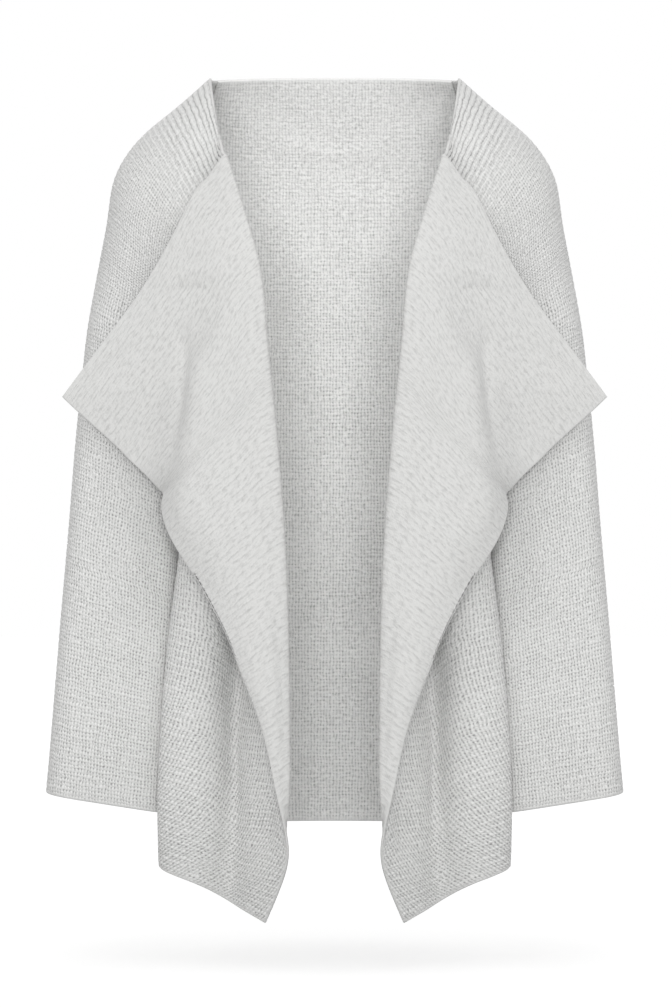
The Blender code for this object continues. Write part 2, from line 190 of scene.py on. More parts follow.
def seamLine(rows, side):
    # Where a front (side -1) or the back (side 1) begins: on the raglan seam, then on the
    # side seam, which falls evenly from the underarm to the hem.
    raglan = sleeveSurface(np.minimum(rows, underarm), np.full((len(rows), 1), float(side)))[:, 0]
    share = np.clip((rows - underarm) / (hemRow - underarm), 0, 1)
    down = -(back["seamZ"][0] + share * (back["seamZ"][-1] - back["seamZ"][0]))
    knots = [-z for z in back["seamZ"]]
    side_ = np.stack([readLine(knots, back["seamOut"], down), readLine(knots, back["seamFwd"], down),
                      -down], -1)
    return np.where((rows <= underarm)[:, None], raglan, side_)


def backSurface(rows, across):
    # across runs from 1 at the left seam to -1 at the right one, round a flattened oval.
    seam = seamLine(rows, 1)
    z, fwd, start = (readLine(back["row"], back[name], rows)[:, None] for name in ("z", "fwd", "start"))
    start = np.radians(np.maximum(start, 0))
    turn = start + (1 - np.abs(across)) * (math.pi / 2 - start)
    out = np.sign(across) * seam[:, :1] * squared(np.cos(turn) / np.cos(start), back["square"])
    share = squared(np.sin(turn), back["square"])
    first = squared(np.sin(start), back["square"])
    share = (share - first) / (1 - first)
    deep = seam[:, 1:2] + (fwd - seam[:, 1:2]) * share
    height = seam[:, 2:] + (z - seam[:, 2:]) * share
    return np.stack([out, deep, height], -1)


# The fronts.

front = {
    "names": "tuck sideOut sideFwd crestOut crestFwd dipOut dipFwd rollOut rollZ rollFwd"
             " edgeOut edgeZ edgeFwd belly1 belly2 belly3 turn folded",
    "rows": (
        (0.0, 107, 66.5, 106, 70, 105, 74, 101.8, -78.5, 84, 252.6, -303.7, 84, 8, 7, 4, 3, 1),
        (0.0, 108.5, 81.5, 103, 88, 97, 94.5, 88.2, -119, 103, 232, -323, 86, 7, 6, 3, 5, 1),
        (0.0, 111.5, 89, 101.5, 98, 88.5, 108.5, 73.8, -167, 120, 203, -349, 88, 11, 7, 3, 5, 1),
        (0.0, 109, 91, 97, 102, 84, 113, 68.4, -190, 127, 191, -361, 93, 13.5, 13, 4, 6, 1),
        (0.0, 111, 86, 95, 104, 81, 117, 65.4, -213, 132, 180, -371, 98, 13.5, 20, 7, 6, 1),
        (0.0, 114, 76, 95, 101, 78.5, 120, 62.9, -244, 137, 169, -381.5, 102, 13, 22.5, 17, 7, 1),
        (0.0, 117, 64, 96, 98, 77.5, 121, 60.5, -269, 140, 160.5, -390, 106, 12, 22.5, 26, 7, 1),
        (0.1, 120, 52, 97, 94, 77.5, 121, 58.5, -288, 142, 156.8, -395.4, 112, 11.5, 21, 26.5, 7, 1),
        (0.2, 123, 55, 99, 94, 78.5, 121, 56.3, -308, 144, 157.8, -410, 125, 9.2, 17, 19.5, 7, 1),
        (0.4, 129, 66, 105, 97, 80.5, 119, 52.1, -354, 148, 147, -438.3, 140, 7, 12, 12, 7, 1),
        (0.6, 134, 80, 109, 102, 82, 114, 48.4, -399, 151, 128.7, -466.5, 147, 6, 11, 10, 7, 1),
        (0.8, 137, 89, 109, 107, 86, 102, 45.5, -444.5, 153, 111, -497, 153, 5, 8, 6.5, 7, 1),
        (0.9, 141, 94, 110, 110, 88, 96, 43.6, -490, 155, 95.5, -528.5, 158, 5, 7, 5, 7, 1),
        (1.0, 147, 98, 111, 113, 90, 93, 42.4, -535, 156, 82, -563.5, 160, 5, 6, 5, 6, 1),
        (1.0, 152, 101, 112, 115, 91, 92, 41.8, -580.6, 157, 68.5, -598.5, 161, 3, 4, 3, 5, 1),
        (1.0, 156, 103, 114, 116, 92, 94, 41.6, -626, 157, 58.5, -637.5, 161, 1, 1, 1, 4, 1),
        (1.0, 159, 104, 116, 117, 92, 98, 42, -668, 155, 50.5, -677, 160, 0, 0, 0, 3, 0.7),
        (1.0, 161, 104, 119, 117, 92, 102, 48, -710, 147, 42.5, -716, 156, 0, 0, 0, 3, 0.1),
        (1.0, 161, 104, 124, 116, 93, 105, 63, -746, 135, 48.6, -749, 147, 0, 0, 0, 3, 0),
        (1.0, 160, 102, 128, 115, 95, 107, 83, -776, 119, 63.4, -785, 138, 0, 0, 0, 3, 0)),
    "neckFall": (0.10, 0.24, 0.42, 0.72),    # how far each place falls towards the roll
    "hemFall": (0.16, 0.39, 0.60, 0.90),
    "topDip": (2, 12, 6.5),     # how far the lapel's top edge dips at each quarter of its width
    "topDipRows": 7,
    "topBow": 4.5,              # how much lower that edge is close to the neck,
    "topBowAt": 23,             # how far from the roll,
    "topBowHalf": 12,           # with this half width
    "topBowRows": 2.5,          # and fading over so many rows
    "foldFade": 12,             # how far from the roll the soft folds begin
    "flank": (0.5, 0.55),
    "turnRise": 0.3,
    "steps": (3, 3, 3, 3, 4, 2, 2, 2, 3, 3, 3),
    "beforeRoll": 5,
    "evening": 4,
    "finer": (2, 2, 2, 2, 3, 4, 4, 4, 4, 4, 4),   # points to each step
}


def frontPlaces(rows):
    # The named places of each section, from the seam round the side and the roll to the edge.
    part = {name: values[:, None] for name, values in
            readTable(front["names"], front["rows"], rows).items()}
    seam = seamLine(rows, -1)
    zero = np.zeros_like(part["rollZ"])
    roll, edge = (np.hstack([part[name + "Out"], part[name + "Fwd"], part[name + "Z"]])
                  for name in ("roll", "edge"))
    side, crest, dip = (np.hstack([part[name + "Out"], part[name + "Fwd"], zero])
                        for name in ("side", "crest", "dip"))
    flank = seam + (side - seam) * np.hstack([front["flank"][0] * (1 - part["tuck"]),
                                              zero + front["flank"][1], zero])
    fall = (np.array(front["neckFall"])
            + rows[:, None] / hemRow * np.subtract(front["hemFall"], front["neckFall"]))
    for number, place in enumerate((flank, side, crest, dip)):
        place[:, 2] = seam[:, 2] + fall[:, number] * (roll[:, 2] - seam[:, 2])
    level = np.array([1, 1, 0])
    arrive = unit((roll - dip) * level)
    leave = unit(((edge - roll) / 4 + np.hstack([zero, part["belly1"], zero])) * level)
    tip, over = unit(arrive - leave), unit(leave + arrive)
    turnIn = roll - (tip + over) * part["turn"]
    turnOut = roll - (tip - over) * part["turn"]
    turnIn[:, 2] += part["turn"][:, 0] * front["turnRise"]
    width = np.linalg.norm((edge - roll) * level, axis=1)
    turnOut[:, 2] += (edge - roll)[:, 2] / width * part["turn"][:, 0]
    lapel = [turnIn, roll, turnOut]
    for share in (1, 2, 3):
        fading = np.clip(1 - rows[:, None] / front["topDipRows"], 0, 1) ** 2
        dipping = -front["topDip"][share - 1] * fading
        lapel.append(turnOut + share / 4 * (edge - turnOut)
                     + np.hstack([zero, part["belly" + str(share)], dipping]))
    lapel.append(edge)
    fold = smoothStep(part["folded"])
    last = len(lapel) - 1
    lapel = [fold * place + (1 - fold) * (roll + (edge - roll) * number / last)
             for number, place in enumerate(lapel)]
    return np.stack([seam, flank, side, crest, dip] + lapel, 1)


def evened(spaces):
    # Spaces between points whose changes are gradual, on the panel and on the lapel by itself.
    cuts = np.cumsum(front["steps"])
    ends = (cuts[front["beforeRoll"] - 1], cuts[front["beforeRoll"] + 1])
    parts = []
    for part in np.split(spaces, ends, axis=1):
        even = part
        for turn in range(front["evening"]):
            wide = np.hstack([even[:, :1], even, even[:, -1:]])
            even = (wide[:, :-2] + 2 * wide[:, 1:-1] + wide[:, 2:]) / 4
        parts.append(even * part.sum(1, keepdims=True) / even.sum(1, keepdims=True))
    return np.hstack(parts)


def frontStations():
    # The places of points along a section, counted in steps, and the step of the roll.
    stations = [0.0]
    for steps, finer in zip(front["steps"], front["finer"]):
        stations += list(stations[-1] + np.arange(1, steps * finer + 1) / finer)
    return np.array(stations), sum(front["steps"][:front["beforeRoll"] + 1])


def frontSurface(rows, stations):
    # Splines through the named places of each section, read at stations counted in steps.
    places = frontPlaces(rows)
    knots = arcAlong(places, 1)
    lengths = np.diff(knots, axis=1)
    spaces = np.repeat(lengths / front["steps"], front["steps"], axis=1)
    arc = np.hstack([np.zeros((len(rows), 1)), np.cumsum(evened(spaces), axis=1)])
    whole = np.clip(np.floor(stations).astype(int), 0, arc.shape[1] - 2)
    part = stations - whole
    at = arc[:, whole] * (1 - part) + arc[:, whole + 1] * part
    step = np.array(cloth["edgeSteps"][1:])
    near = np.minimum(step, np.array([0.1, 0.3, 0.6]) * (arc[:, 1] - arc[:, 0])[:, None])
    far = np.minimum(step, np.array([0.1, 0.3, 0.6]) * (arc[:, -1] - arc[:, -2])[:, None])
    at = np.hstack([at[:, :1], near, at[:, 1:-1], at[:, -1:] - far[:, ::-1], at[:, -1:]])
    return smoothCurve(knots, places, at)


# Soft folds.

# Each fold has a height (below 0 for a trough), a half width, and places (out, z) from one end
# to the other. Those on the lapels, the panels and the front of the sleeves are as they look from
# the front, and those on the back and behind the sleeves are invented.
foldSamples = 120
lapelFolds = (
    (-3.8, 6, ((154, -382), (146, -342), (140, -301), (138, -258), (142, -236))),
    (2.4, 9, ((141, -372), (131, -335), (126, -296), (125, -262))),
    (-2.0, 5, ((160, -224), (147, -208), (133, -205), (119, -208), (102, -220))),
    (1.2, 5, ((158, -207), (129, -192), (99, -189))),
    (-1.2, 4.5, ((148, -189), (124, -178), (101, -174))),
    (-1.6, 6, ((234, -300), (217, -283), (198, -267), (174, -249))),
    (1.2, 8, ((222, -318), (198, -300), (170, -282))),
    (-1.5, 7, ((127, -364), (119, -396), (106, -432))),
    (1.6, 8, ((143, -384), (139, -410), (130, -436))))
panelFolds = (
    (-2.5, 8, ((97, -528), (94, -606), (96, -690), (101, -755))),
    (6.0, 13, ((80, -570), (77, -640), (76, -700), (81, -770))),
    (-2.0, 4, ((56, -655), (57, -693), (62, -732))))
sleeveFrontFolds = (
    (-1.6, 9, ((176, -395), (168, -450), (166, -520))),
    (1.2, 12, ((196, -420), (192, -480), (194, -560))),
    (-1.0, 10, ((222, -330), (214, -390), (219, -450))))
sleeveBackFolds = (
    (-3.0, 8, ((162, -316), (190, -338), (221, -343))),
    (-2.4, 7, ((160, -352), (182, -372), (208, -381))),
    (2.0, 9, ((163, -335), (190, -356), (220, -364))),
    (-2.0, 11, ((196, -430), (191, -520), (200, -612))),
    (1.6, 12, ((222, -470), (226, -560), (222, -640))))
backFolds = (
    (-2.2, 13, ((84, -190), (72, -300), (66, -430))),
    (-1.8, 12, ((-80, -205), (-74, -290), (-58, -405))),
    (1.6, 15, ((18, -360), (26, -470), (22, -600))),
    (-2.0, 14, ((46, -500), (52, -600), (50, -712))),
    (-1.6, 13, ((-60, -530), (-52, -620), (-58, -712))),
    (-1.4, 9, ((60, -52), (0, -60), (-56, -50))))


# From a surface to a knitted wall.

def rowStations(surface, lastRow, base):
    # Rows that follow the courses: evenly spaced by the mean distance along some base lines,
    # with extra rows next to both edges. Returns the rows and their distances from the top.
    dense = np.linspace(0, lastRow, 400)
    along = arcAlong(surface(dense, base), 0).mean(1)
    step = cloth["ribPitch"] / cloth["ribPoints"]
    edge = np.array(cloth["edgeSteps"])
    even = np.arange(2, int((along[-1] - edge[-1]) / step)) * step
    distance = np.concatenate([edge, even, along[-1] - edge[::-1]])
    return np.interp(distance, along, dense), distance


def acrossStations(surface, rows, columns, ends):
    # Places across each row, evenly spaced, with extra points next to both seams.
    dense = np.linspace(ends[0], ends[1], 241)
    along = arcAlong(surface(rows, np.tile(dense, (len(rows), 1))), 1)
    edge = np.array(cloth["edgeSteps"])
    places = []
    for line in along:
        even = np.linspace(0, line[-1], columns)[1:-1]
        at = np.concatenate([edge, even, line[-1] - edge[::-1]])
        places.append(np.interp(at, line, dense))
    return np.array(places)


def ribWave(phase):
    # Broad raised courses with narrow furrows between them, from -1 to 1.
    furrow = 0.5 - 0.5 * np.cos(2 * math.pi * phase)
    return 1 - 2 * furrow ** 2


def ripple(u, v, size, seed):
    # Uneven soft waves of about one unit: a sum of sines in fixed random directions.
    dice = np.random.default_rng(seed)
    total = np.zeros(np.shape(u))
    for i in range(7):
        angle, phase, stretch = dice.uniform(0, 2 * math.pi, 2).tolist() + [dice.uniform(0.7, 1.6)]
        total += np.sin((u * math.cos(angle) + v * math.sin(angle)) * stretch * 2 * math.pi / size + phase)
    return total / 2.6


def foldHeights(middle, folds):
    # How far the folds push each point of a surface outwards. They fade at both ends.
    total = np.zeros(middle.shape[:2])
    for height, width, places in folds:
        line = smoothCurve(np.linspace(0, 1, len(places))[None], np.array(places, float)[None],
                           np.linspace(0, 1, foldSamples)[None])[0]
        away = np.hypot(middle[:, :, :1] - line[:, 0], middle[:, :, 2:] - line[:, 1])
        fade = np.sin(math.pi * (away.argmin(-1) + 0.5) / foldSamples)
        total += height * fade * np.exp(-(away.min(-1) / width) ** 2)
    return total


def wallNormals(points, outward):
    return unit(np.cross(np.gradient(points, axis=1), np.gradient(points, axis=0))) * outward


def gridFaces(first):
    return np.stack([first[:-1, :-1], first[1:, :-1], first[1:, 1:], first[:-1, 1:]], -1).reshape(-1, 4)


def makeWall(name, middle, along, across, settings, materials, seams, freeEdges):
    # A closed wall round a middle surface, rounded at its edges and ribbed on both sides. along
    # and across are the knit's own distances. seams tells whether the first and last columns are
    # sewn, and freeEdges whether the top, the bottom and the last column are edges of the garment.
    gap = cloth["seamGap"] / 2
    if seams[0]:
        middle[:, 0] += unit(middle[:, 1] - middle[:, 0]) * gap
    if seams[1]:
        middle[:, -1] += unit(middle[:, -2] - middle[:, -1]) * gap
    middle = middle + wallNormals(middle, settings["outward"]) * settings["folds"][:, :, None]
    normals = wallNormals(middle, settings["outward"])
    rowArc, columnArc = arcAlong(middle, 0), arcAlong(middle, 1)
    edge = np.minimum.reduce([rowArc, rowArc[-1:] - rowArc, columnArc, columnArc[:, -1:] - columnArc])
    free = [edges for edges, isFree in zip((rowArc, rowArc[-1:] - rowArc, columnArc[:, -1:] - columnArc),
                                           freeEdges) if isFree]
    inset = np.clip(np.minimum.reduce(free) / cloth["plainEdge"], 0, 1)
    close = 1 - np.clip(edge / cloth["edgeRound"], 0, 1)
    rounded = np.sqrt(np.clip(1 - close ** 2, 0, 1))
    phase = along / cloth["ribPitch"] + 0 * across
    uneven = 1 + settings["unevenRibs"] * ripple(across, along, 60, settings["seed"])
    outside = settings["ribOut"] * uneven * inset * ribWave(phase)
    inside = settings["ribIn"] * uneven * inset * ribWave(phase + 0.5)
    half = cloth["thick"] / 2
    outer = middle + normals * ((half + outside) * rounded)[:, :, None]
    inner = middle - normals * ((half + inside) * rounded)[:, :, None]
    rows, columns = middle.shape[:2]
    outerNumbers = np.arange(rows * columns).reshape(rows, columns)
    innerNumbers = outerNumbers.copy()
    innerNumbers[1:-1, 1:-1] = rows * columns + np.arange((rows - 2) * (columns - 2)).reshape(rows - 2, -1)
    points = np.concatenate([outer.reshape(-1, 3), inner[1:-1, 1:-1].reshape(-1, 3)])
    uv = np.stack([across + 0 * along, along + 0 * across], -1)
    uvs = np.concatenate([uv.reshape(-1, 2), uv[1:-1, 1:-1].reshape(-1, 2)])
    faces = np.concatenate([gridFaces(outerNumbers), gridFaces(innerNumbers)[:, ::-1]])
    if settings["outward"] < 0:
        faces = faces[:, ::-1]
    insets = np.concatenate([inset.reshape(-1), inset[1:-1, 1:-1].reshape(-1)])
    return makePiece(name, points, faces, uvs, insets, gridFaces(outerNumbers).shape[0], materials)


def makePiece(name, points, faces, uvs, insets, outerCount, materials):
    mesh = bpy.data.meshes.new(name)
    mesh.vertices.add(len(points))
    mesh.vertices.foreach_set("co", (points * (1, -1, 1) * mm).astype(np.float32).ravel())
    mesh.loops.add(faces.size)
    mesh.loops.foreach_set("vertex_index", faces.ravel().astype(np.int32))
    mesh.polygons.add(len(faces))
    mesh.polygons.foreach_set("loop_start", np.arange(0, faces.size, 4, dtype=np.int32))
    mesh.update(calc_edges=True)
    placed = (uvs[faces.ravel()] * mm).astype(np.float32)
    mesh.uv_layers.new(name="knit").data.foreach_set("uv", placed.ravel())
    fading = mesh.attributes.new("inset", "FLOAT", "POINT")
    fading.data.foreach_set("value", insets.astype(np.float32))
    for material in materials:
        mesh.materials.append(material)
    mesh.polygons.foreach_set("material_index", (np.arange(len(faces)) >= outerCount).astype(np.int32))
    mesh.validate()
    mesh.shade_smooth()
    piece = bpy.data.objects.new(name, mesh)
    bpy.context.scene.collection.objects.link(piece)
    print(name, len(faces) * 2, "triangles")
    return piece


# Materials.

def linkInto(tree, socket, value):
    if isinstance(value, (int, float, tuple)):
        socket.default_value = value
    else:
        tree.links.new(value, socket)


def mathNode(tree, operation, *values, clamp=False):
    node = tree.nodes.new("ShaderNodeMath")
    node.operation = operation
    node.use_clamp = clamp
    for socket, value in zip(node.inputs, values):
        linkInto(tree, socket, value)
    return node.outputs[0]


def noiseNode(tree, vector, scale, detail=2.0, rough=0.5):
    node = tree.nodes.new("ShaderNodeTexNoise")
    tree.links.new(vector, node.inputs["Vector"])
    node.inputs["Scale"].default_value = scale
    node.inputs["Detail"].default_value = detail
    node.inputs["Roughness"].default_value = rough
    return node.outputs["Fac"]


def raisedCosine(tree, phase):
    # 1 at whole numbers and 0 half way between them.
    wave = mathNode(tree, "COSINE", mathNode(tree, "MULTIPLY", phase, 2 * math.pi))
    return mathNode(tree, "MULTIPLY_ADD", wave, 0.5, 0.5)


def gapWave(tree, phase, power):
    # 0 at whole numbers and 1 half way between them, sharper with a higher power.
    return mathNode(tree, "POWER", mathNode(tree, "SUBTRACT", 1.0, raisedCosine(tree, phase)), power)


def buildKnitGroup():
    # Loops of yarn in courses (rows) and wales (columns). The first output is 1 in the gaps between
    # loops and the second along the furrows between two pairs of courses: masks for painted shade in
    # these recesses, partly also the knit's own darker gaps. "Slub" gives uneven short dashes along the
    # courses and "Height" is 1 on top of a loop. Where columns don't show, the gaps join into lines.
    group = bpy.data.node_groups.new("knitLoops", "ShaderNodeTree")
    group.interface.new_socket(name="Knit", in_out="INPUT", socket_type="NodeSocketVector")
    for name in ("Row Pitch", "Column Pitch", "Lean", "Columns Show", "Columns Dark", "Waver"):
        group.interface.new_socket(name=name, in_out="INPUT", socket_type="NodeSocketFloat")
    for name in ("Gap Shade", "Furrow Shade", "Slub", "Height"):
        group.interface.new_socket(name=name, in_out="OUTPUT", socket_type="NodeSocketFloat")
    given = group.nodes.new("NodeGroupInput").outputs
    made = group.nodes.new("NodeGroupOutput").inputs
    split = group.nodes.new("ShaderNodeSeparateXYZ")
    group.links.new(given["Knit"], split.inputs[0])
    across, along = split.outputs[0], split.outputs[1]
    # Unevenness over about 22, 7, 3 and 38 mm.
    slow, quick, cell, patch = (mathNode(group, "SUBTRACT", noiseNode(group, given["Knit"], scale), 0.5)
                                for scale in (45, 150, 330, 26))
    sway = mathNode(group, "MULTIPLY", slow, given["Waver"])
    nudge = mathNode(group, "MULTIPLY", quick, given["Waver"])
    course = mathNode(group, "MULTIPLY_ADD", sway, 0.35, mathNode(group, "DIVIDE", along, given["Row Pitch"]))
    course = mathNode(group, "MULTIPLY_ADD", nudge, 0.35, course)
    leaning = mathNode(group, "MULTIPLY_ADD", along, given["Lean"], across)
    wale = mathNode(group, "ADD", mathNode(group, "DIVIDE", leaning, given["Column Pitch"]),
                    mathNode(group, "MULTIPLY_ADD", nudge, 0.6, sway))
    # Painted shade: these masks mark where the colour is darkened in the gaps between loops and along the
    # furrows.
    rowGap = gapWave(group, mathNode(group, "MULTIPLY", course, 2.0), 1.0)
    columnGap = gapWave(group, wale, 1.4)
    bare = mathNode(group, "SUBTRACT", 1.0, given["Columns Show"])
    hidden = mathNode(group, "MULTIPLY", given["Columns Show"], mathNode(group, "SUBTRACT", 1.0, columnGap))
    gap = mathNode(group, "MULTIPLY", rowGap, mathNode(group, "SUBTRACT", 1.0, hidden))
    gap = mathNode(group, "MULTIPLY", gap, mathNode(group, "MULTIPLY_ADD", given["Columns Show"], 0.85, 0.15))
    gap = mathNode(group, "MAXIMUM", gap, mathNode(group, "MULTIPLY", columnGap, given["Columns Dark"]))
    strength = mathNode(group, "MULTIPLY_ADD", cell, 3.6, mathNode(group, "MULTIPLY_ADD", patch, 0.6, 1.0))
    group.links.new(mathNode(group, "MULTIPLY", gap, strength, clamp=True), made["Gap Shade"])
    plain = mathNode(group, "POWER", bare, 2.0)
    plain = mathNode(group, "MULTIPLY_ADD", plain, 4.6, 0.8)
    furrow = mathNode(group, "MULTIPLY_ADD", cell, 2.0, mathNode(group, "MULTIPLY_ADD", patch, 1.0, 1.0))
    narrow = gapWave(group, course, 9.0)
    furrow = mathNode(group, "MULTIPLY", furrow, mathNode(group, "MULTIPLY", narrow, plain))
    group.links.new(furrow, made["Furrow Shade"])
    stretched = group.nodes.new("ShaderNodeCombineXYZ")
    group.links.new(across, stretched.inputs[0])
    group.links.new(mathNode(group, "MULTIPLY", along, 2.6), stretched.inputs[1])
    slub = noiseNode(group, stretched.outputs[0], 150)
    group.links.new(mathNode(group, "SUBTRACT", slub, 0.5), made["Slub"])
    low = mathNode(group, "MULTIPLY", mathNode(group, "MAXIMUM", rowGap, columnGap), given["Columns Show"])
    shallow = mathNode(group, "SUBTRACT", 0.8, given["Columns Show"])
    line = mathNode(group, "MULTIPLY", narrow, shallow, clamp=True)
    group.links.new(mathNode(group, "SUBTRACT", 1.0, mathNode(group, "ADD", low, line)), made["Height"])
    return group


knitGroup = buildKnitGroup()


def knitMaterial(name, look):
    # One side of the knit. "gap" and "furrow" darken the colour in the gaps between loops and along
    # the furrows: painted shade in these recesses, partly also the knit's own darker gaps. The columns
    # come in over a stretch below the neck edge.
    material = bpy.data.materials.new(name)
    material.use_nodes = True
    tree = material.node_tree
    shader = tree.nodes["Principled BSDF"]
    place = tree.nodes.new("ShaderNodeUVMap")
    place.uv_map = "knit"
    place = place.outputs[0]
    split = tree.nodes.new("ShaderNodeSeparateXYZ")
    tree.links.new(place, split.inputs[0])
    inset = tree.nodes.new("ShaderNodeAttribute")
    inset.attribute_name = "inset"
    inset = inset.outputs["Fac"]
    knit = tree.nodes.new("ShaderNodeGroup")
    knit.node_tree = knitGroup
    tree.links.new(place, knit.inputs["Knit"])
    show = tree.nodes.new("ShaderNodeMapRange")
    show.interpolation_type = "SMOOTHSTEP"
    tree.links.new(split.outputs[1], show.inputs["Value"])
    for socket, value in zip(("From Min", "From Max", "To Min", "To Max"), look["columnsShow"]):
        show.inputs[socket].default_value = value
    tree.links.new(show.outputs[0], knit.inputs["Columns Show"])
    for socket, value in (("Row Pitch", cloth["ribPitch"] * mm), ("Column Pitch", look["wale"] * mm),
                          ("Lean", look["lean"]), ("Columns Dark", look["columnsDark"]),
                          ("Waver", look["waver"])):
        knit.inputs[socket].default_value = value
    fibre = noiseNode(tree, place, 520, 3.0, 0.65)
    height = mathNode(tree, "MULTIPLY_ADD", fibre, look["fibre"], knit.outputs["Height"])
    height = mathNode(tree, "MULTIPLY", height, inset)
    bump = tree.nodes.new("ShaderNodeBump")
    bump.inputs["Strength"].default_value = 1.0
    bump.inputs["Distance"].default_value = look["relief"] * mm
    tree.links.new(height, bump.inputs["Height"])
    tree.links.new(bump.outputs[0], shader.inputs["Normal"])
    # Painted shade: the base colour is darkened in the gaps between loops and along the furrows, partly also
    # the knit's own darker gaps.
    gaps = mathNode(tree, "MULTIPLY", knit.outputs["Gap Shade"], look["gap"])
    gaps = mathNode(tree, "MULTIPLY_ADD", knit.outputs["Furrow Shade"], look["furrow"], gaps)
    gaps = mathNode(tree, "MULTIPLY_ADD", knit.outputs["Slub"], look["slub"], gaps)
    bare = mathNode(tree, "SUBTRACT", 1.0, show.outputs[0])
    gaps = mathNode(tree, "MULTIPLY_ADD", bare, look["bare"], gaps)
    gaps = mathNode(tree, "MULTIPLY", mathNode(tree, "SUBTRACT", gaps, look["plain"]), inset)
    shade = mathNode(tree, "SUBTRACT", 1.0 - look["plain"], gaps)
    blotch = mathNode(tree, "SUBTRACT", noiseNode(tree, place, 16, 4.0, 0.6), 0.5)
    shade = mathNode(tree, "MULTIPLY_ADD", blotch, look["blotch"], shade)
    shade = mathNode(tree, "MULTIPLY_ADD", mathNode(tree, "SUBTRACT", fibre, 0.5), look["melange"], shade)
    mix = tree.nodes.new("ShaderNodeMix")
    mix.data_type = "RGBA"
    mix.inputs[6].default_value = (0, 0, 0, 1)
    mix.inputs[7].default_value = (*look["colour"], 1)
    tree.links.new(shade, mix.inputs[0])
    tree.links.new(mix.outputs[2], shader.inputs["Base Color"])
    shader.inputs["Roughness"].default_value = 0.92
    shader.inputs["Specular IOR Level"].default_value = 0.15
    shader.inputs["Sheen Weight"].default_value = 0.3
    shader.inputs["Sheen Roughness"].default_value = 0.5
    return material


# columnsShow: from this distance below the neck edge to that (in metres), from this much to
# that. plain: how much darker than the yarn the garment's edges are, where no loops show. bare:
# how much darker the cloth is where no columns show. wale and relief are in millimetres.
# gap, furrow and columnsDark set how much painted shade the gaps between loops and the furrows get.
rightSide = {"colour": (0.735, 0.735, 0.725), "wale": 3.0, "lean": 0.0, "waver": 1.5,
             "fibre": 0.3, "relief": 0.6, "blotch": 0.08, "melange": 0.30,
             "gap": 0.55, "furrow": 0.08, "slub": 0.30, "plain": 0.19, "bare": 0.07,
             "columnsDark": 0.22, "columnsShow": (0.03, 0.15, 0.12, 0.95)}
wrongSide = {"colour": (0.63, 0.63, 0.62), "wale": 3.3, "lean": 0.0, "waver": 1.6,
             "fibre": 0.3, "relief": 0.4, "blotch": 0.06, "melange": 0.20,
             "gap": 0.10, "furrow": 0.06, "slub": 0.70, "plain": 0.04, "bare": 0.0,
             "columnsDark": 0.0, "columnsShow": (0, 1, 0.5, 0.5)}


def knitPair(name, right, wrong):
    # The materials of a piece's two sides, with the values that differ from the usual ones.
    return (knitMaterial(name + "RightSide", {**rightSide, **right}),
            knitMaterial(name + "WrongSide", {**wrongSide, **wrong}))


# The pieces.

def mirrorOf(points):
    return points * (-1, 1, 1)


def eased(middle, rows):
    # Smooths the cloth along the arm where the raglan part ends, away from the seams.
    columnArc = arcAlong(middle, 1)
    near, far = sleeve["easeFrom"]
    away = np.clip((np.minimum(columnArc, columnArc[:, -1:] - columnArc) - near) / (far - near), 0, 1)
    share = (away * np.exp(-((rows - underarm) / sleeve["easeRows"])[:, None] ** 2))[:, :, None]
    smooth = middle.copy()
    for turn in range(sleeve["easeTurns"]):
        smooth[1:-1] += share[1:-1] * ((smooth[:-2] + smooth[2:]) / 2 - smooth[1:-1]) * sleeve["easeStep"]
    return smooth


def makeSleeves():
    settings = {"outward": 1, "ribOut": 0.18, "ribIn": 0.18, "unevenRibs": 0.25, "seed": 3}
    base = np.tile(np.linspace(-0.8, 0.8, 7), (400, 1))
    rows, along = rowStations(sleeveSurface, cuffRow, base)
    across = acrossStations(sleeveSurface, rows, sleeve["columns"], (-1, 1))
    middle = sleeveSurface(rows, across)
    middle = eased(middle, rows)
    width = arcAlong(middle, 1)
    width -= np.array([[np.interp(0, places, arc)] for places, arc in zip(across, width)])
    turned = across * sleeve["foldFade"]
    settings["folds"] = (foldHeights(middle, sleeveFrontFolds) * np.clip(-turned, 0, 1)
                         + foldHeights(middle, sleeveBackFolds) * np.clip(turned, 0, 1))
    materials = knitPair("sleeve", {}, {})
    for side, points in (("left", middle), ("right", mirrorOf(middle))):
        piece = makeWall("sleeve_" + side, points.copy(), along[:, None], width,
                         {**settings, "outward": settings["outward"] * (1 if side == "left" else -1)},
                         materials, (True, True), (True, True, False))
        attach(piece, "root")
        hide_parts("sleeve_" + side)


def makeBack():
    # Painted light: the inside of the back gets a far lighter copy of the wrong side's colour (0.93 against
    # 0.63 on the lapels), which lifts the shade inside the hollow garment.
    backInsidePaintedLight = {"colour": (0.93, 0.93, 0.92), "gap": 0.50, "furrow": 0.03, "wale": 3.1, "waver": 1.1,
                  "columnsDark": 0.42, "columnsShow": (0.05, 0.25, 0.5, 0.8), "blotch": 0.22, "slub": 0.55,
                  "plain": 0.14}
    settings = {"outward": 1, "ribOut": 0.18, "ribIn": 0.18, "unevenRibs": 0.25, "seed": 5}
    base = np.tile(np.linspace(1, -1, 7), (400, 1))
    rows, along = rowStations(backSurface, hemRow, base)
    across = acrossStations(backSurface, rows, back["columns"], (1, -1))
    middle = backSurface(rows, across)
    width = arcAlong(middle, 1)
    width -= width[:, -1:] / 2
    settings["folds"] = foldHeights(middle, backFolds)
    piece = makeWall("back", middle, along[:, None], width, settings,
                     knitPair("back", {}, backInsidePaintedLight), (True, True), (True, True, False))
    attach(piece, "root")
    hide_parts("back")


